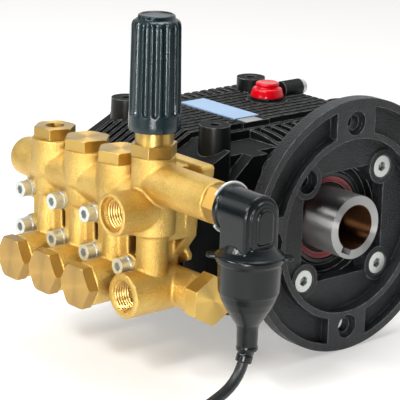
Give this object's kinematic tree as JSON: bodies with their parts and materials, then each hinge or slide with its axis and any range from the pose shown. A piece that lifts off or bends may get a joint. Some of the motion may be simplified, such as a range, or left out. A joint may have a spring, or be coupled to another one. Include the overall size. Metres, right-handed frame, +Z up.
{
  "type": "pressure washer pump",
  "caption": "Triplex plunger pump with a finned black crankcase, round motor flange with hollow shaft, brass valve head, pressure knob and pressure switch on a lead.",
  "frame": {"origin": "where the shaft axis meets the motor face of the flange", "axes": "+X out of the flange along the shaft, -Y towards the valve head, +Z up"},
  "size_m": [0.3028, 0.3597, 0.2195],
  "materials": {
    "cast_black": "satin black painted casting",
    "flange_cast": "dark grey casting",
    "cast_brass": "sand-cast brass",
    "bright_brass": "machined brass",
    "zinc": "zinc plated",
    "steel": "ground steel",
    "rod_alloy": "cast alloy",
    "bush_bronze": "bronze",
    "ceramic": "polished ceramic",
    "rubber": "black rubber",
    "seal_red": "red seal rubber",
    "black_plastic": "fine textured plastic",
    "red_plastic": "glossy red plastic",
    "label_blue": "printed film"
  },
  "bodies": {
    "pump": {"crankcase": "cast_black", "motor_flange": "flange_cast", "flange_screws": "zinc", "side_cover": "cast_black", "rear_cover": "cast_black", "cover_screws": "zinc", "oil_plugs": "zinc", "label_plate": "label_blue", "shaft_seal": "seal_red", "bearing_outer_rings": "steel", "plunger_oil_seals": "rubber", "manifold": "cast_brass", "head_bolts": "zinc", "valve_caps": "bright_brass", "gauge_cap": "bright_brass", "valve_seats": "steel", "valve_cages": "black_plastic", "valve_springs": "steel", "plunger_packings": "rubber", "suction_plug": "bright_brass", "unloader_stem": "bright_brass", "switch_body": "bright_brass", "micro_switch": "black_plastic", "switch_clip": "zinc", "cable_boot": "rubber", "cable_lead": "rubber", "cable_coil": "rubber", "cable_tie": "black_plastic", "cable_connector": "black_plastic", "unloader_spring": "steel"},
    "crank": {"crankshaft": "steel", "bearing_inner_rings": "steel"},
    "ball_set": {"bearing_balls": "steel"},
    "rod_1": {"rod_1": "rod_alloy"},
    "bush_1": {"small_end_bush_1": "bush_bronze"},
    "pin_1": {"wrist_pin_1": "steel"},
    "guide_1": {"plunger_guide_1": "steel", "plunger_1": "ceramic"},
    "rod_2": {"rod_2": "rod_alloy"},
    "bush_2": {"small_end_bush_2": "bush_bronze"},
    "pin_2": {"wrist_pin_2": "steel"},
    "guide_2": {"plunger_guide_2": "steel", "plunger_2": "ceramic"},
    "rod_3": {"rod_3": "rod_alloy"},
    "bush_3": {"small_end_bush_3": "bush_bronze"},
    "pin_3": {"wrist_pin_3": "steel"},
    "guide_3": {"plunger_guide_3": "steel", "plunger_3": "ceramic"},
    "suction_poppet_1": {"suction_valve_1": "steel"},
    "discharge_poppet_1": {"discharge_valve_1": "steel"},
    "suction_poppet_2": {"suction_valve_2": "steel"},
    "discharge_poppet_2": {"discharge_valve_2": "steel"},
    "suction_poppet_3": {"suction_valve_3": "steel"},
    "discharge_poppet_3": {"discharge_valve_3": "steel"},
    "follower": {"spring_follower": "steel"},
    "knob": {"pressure_knob": "black_plastic"},
    "piston": {"unloader_piston": "steel"},
    "switch_pin": {"switch_pin": "steel"},
    "oil_gasket": {"oil_cap_gasket": "rubber"},
    "oil_cap": {"oil_cap": "red_plastic"}
  },
  "joints": [
    {"name": "crank_spin", "type": "hinge", "parent": "pump", "child": "crank", "pos_m": [0, 0, 0], "axis": [1, 0, 0], "continuous": true},
    {"name": "ball_orbit", "type": "hinge", "parent": "pump", "child": "ball_set", "pos_m": [0, 0, 0], "axis": [1, 0, 0], "continuous": true},
    {"name": "rod_1_turn", "type": "hinge", "parent": "crank", "child": "rod_1", "pos_m": [-0.1325, 0.005, 0], "axis": [1, 0, 0], "continuous": true},
    {"name": "bush_1_turn", "type": "hinge", "parent": "rod_1", "child": "bush_1", "pos_m": [-0.1325, -0.043, 0], "axis": [1, 0, 0], "continuous": true},
    {"name": "pin_1_turn", "type": "hinge", "parent": "bush_1", "child": "pin_1", "pos_m": [-0.1325, -0.0455, 0], "axis": [1, 0, 0], "continuous": true},
    {"name": "guide_1_turn", "type": "hinge", "parent": "pin_1", "child": "guide_1", "pos_m": [-0.1325, -0.043, 0], "axis": [1, 0, 0], "continuous": true},
    {"name": "rod_2_turn", "type": "hinge", "parent": "crank", "child": "rod_2", "pos_m": [-0.0995, -0.0025, 0.00433], "axis": [1, 0, 0], "continuous": true},
    {"name": "bush_2_turn", "type": "hinge", "parent": "rod_2", "child": "bush_2", "pos_m": [-0.0995, -0.0505, 0.00433], "axis": [1, 0, 0], "continuous": true},
    {"name": "pin_2_turn", "type": "hinge", "parent": "bush_2", "child": "pin_2", "pos_m": [-0.0995, -0.04925, 0.00216], "axis": [1, 0, 0], "continuous": true},
    {"name": "guide_2_turn", "type": "hinge", "parent": "pin_2", "child": "guide_2", "pos_m": [-0.0995, -0.0505, 0], "axis": [1, 0, 0], "continuous": true},
    {"name": "rod_3_turn", "type": "hinge", "parent": "crank", "child": "rod_3", "pos_m": [-0.0665, -0.0025, -0.00433], "axis": [1, 0, 0], "continuous": true},
    {"name": "bush_3_turn", "type": "hinge", "parent": "rod_3", "child": "bush_3", "pos_m": [-0.0665, -0.0505, -0.00433], "axis": [1, 0, 0], "continuous": true},
    {"name": "pin_3_turn", "type": "hinge", "parent": "bush_3", "child": "pin_3", "pos_m": [-0.0665, -0.04925, -0.00216], "axis": [1, 0, 0], "continuous": true},
    {"name": "guide_3_turn", "type": "hinge", "parent": "pin_3", "child": "guide_3", "pos_m": [-0.0665, -0.0505, 0], "axis": [1, 0, 0], "continuous": true},
    {"name": "suction_lift_1", "type": "slide", "parent": "pump", "child": "suction_poppet_1", "axis": [0, -1, 0], "range_m": [0, 0.002], "stiffness_N_per_m": 150, "springref_m": -0.003},
    {"name": "discharge_lift_1", "type": "slide", "parent": "pump", "child": "discharge_poppet_1", "axis": [0, 0, 1], "range_m": [0, 0.002], "stiffness_N_per_m": 150, "springref_m": -0.003},
    {"name": "suction_lift_2", "type": "slide", "parent": "pump", "child": "suction_poppet_2", "axis": [0, -1, 0], "range_m": [0, 0.002], "stiffness_N_per_m": 150, "springref_m": -0.003},
    {"name": "discharge_lift_2", "type": "slide", "parent": "pump", "child": "discharge_poppet_2", "axis": [0, 0, 1], "range_m": [0, 0.002], "stiffness_N_per_m": 150, "springref_m": -0.003},
    {"name": "suction_lift_3", "type": "slide", "parent": "pump", "child": "suction_poppet_3", "axis": [0, -1, 0], "range_m": [0, 0.002], "stiffness_N_per_m": 150, "springref_m": -0.003},
    {"name": "discharge_lift_3", "type": "slide", "parent": "pump", "child": "discharge_poppet_3", "axis": [0, 0, 1], "range_m": [0, 0.002], "stiffness_N_per_m": 150, "springref_m": -0.003},
    {"name": "knob_turn", "type": "hinge", "parent": "follower", "child": "knob", "pos_m": [-0.0355, -0.1282, 0.1], "axis": [0, 0, 1], "range_deg": [-722, 722]},
    {"name": "follower_slide", "type": "slide", "parent": "pump", "child": "follower", "axis": [0, 0, 1], "range_m": [-0.003, 0.003], "deforming": ["unloader_spring"]},
    {"name": "unloader_lift", "type": "slide", "parent": "pump", "child": "piston", "axis": [0, 0, 1], "range_m": [0, 0.0015], "stiffness_N_per_m": 3000, "springref_m": -0.001, "deforming": ["unloader_spring"]},
    {"name": "switch_push", "type": "slide", "parent": "pump", "child": "switch_pin", "axis": [1, 0, 0], "range_m": [0, 0.0015], "stiffness_N_per_m": 400, "springref_m": -0.001},
    {"name": "oil_cap_turn", "type": "hinge", "parent": "oil_gasket", "child": "oil_cap", "pos_m": [-0.1165, 0.0325, 0.053], "axis": [0, 0, 1], "range_deg": [0, 1442]},
    {"name": "oil_cap_rise", "type": "slide", "parent": "pump", "child": "oil_gasket", "axis": [0, 0, 1], "range_m": [0, 0.012]}
  ],
  "couplings": [
    {"joint": "ball_orbit", "follows": "crank_spin", "ratio": 0.42685},
    {"joint": "rod_1_turn", "follows": "crank_spin", "ratio": -1},
    {"joint": "bush_1_turn", "follows": "crank_spin", "ratio": 1},
    {"joint": "pin_1_turn", "follows": "crank_spin", "ratio": -2},
    {"joint": "guide_1_turn", "follows": "crank_spin", "ratio": 1},
    {"joint": "rod_2_turn", "follows": "crank_spin", "ratio": -1},
    {"joint": "bush_2_turn", "follows": "crank_spin", "ratio": 1},
    {"joint": "pin_2_turn", "follows": "crank_spin", "ratio": -2},
    {"joint": "guide_2_turn", "follows": "crank_spin", "ratio": 1},
    {"joint": "rod_3_turn", "follows": "crank_spin", "ratio": -1},
    {"joint": "bush_3_turn", "follows": "crank_spin", "ratio": 1},
    {"joint": "pin_3_turn", "follows": "crank_spin", "ratio": -2},
    {"joint": "guide_3_turn", "follows": "crank_spin", "ratio": 1},
    {"joint": "knob_turn", "follows": "follower_slide", "rad_per_m": 4188.8},
    {"joint": "oil_cap_turn", "follows": "oil_cap_rise", "rad_per_m": 2094.4}
  ]
}
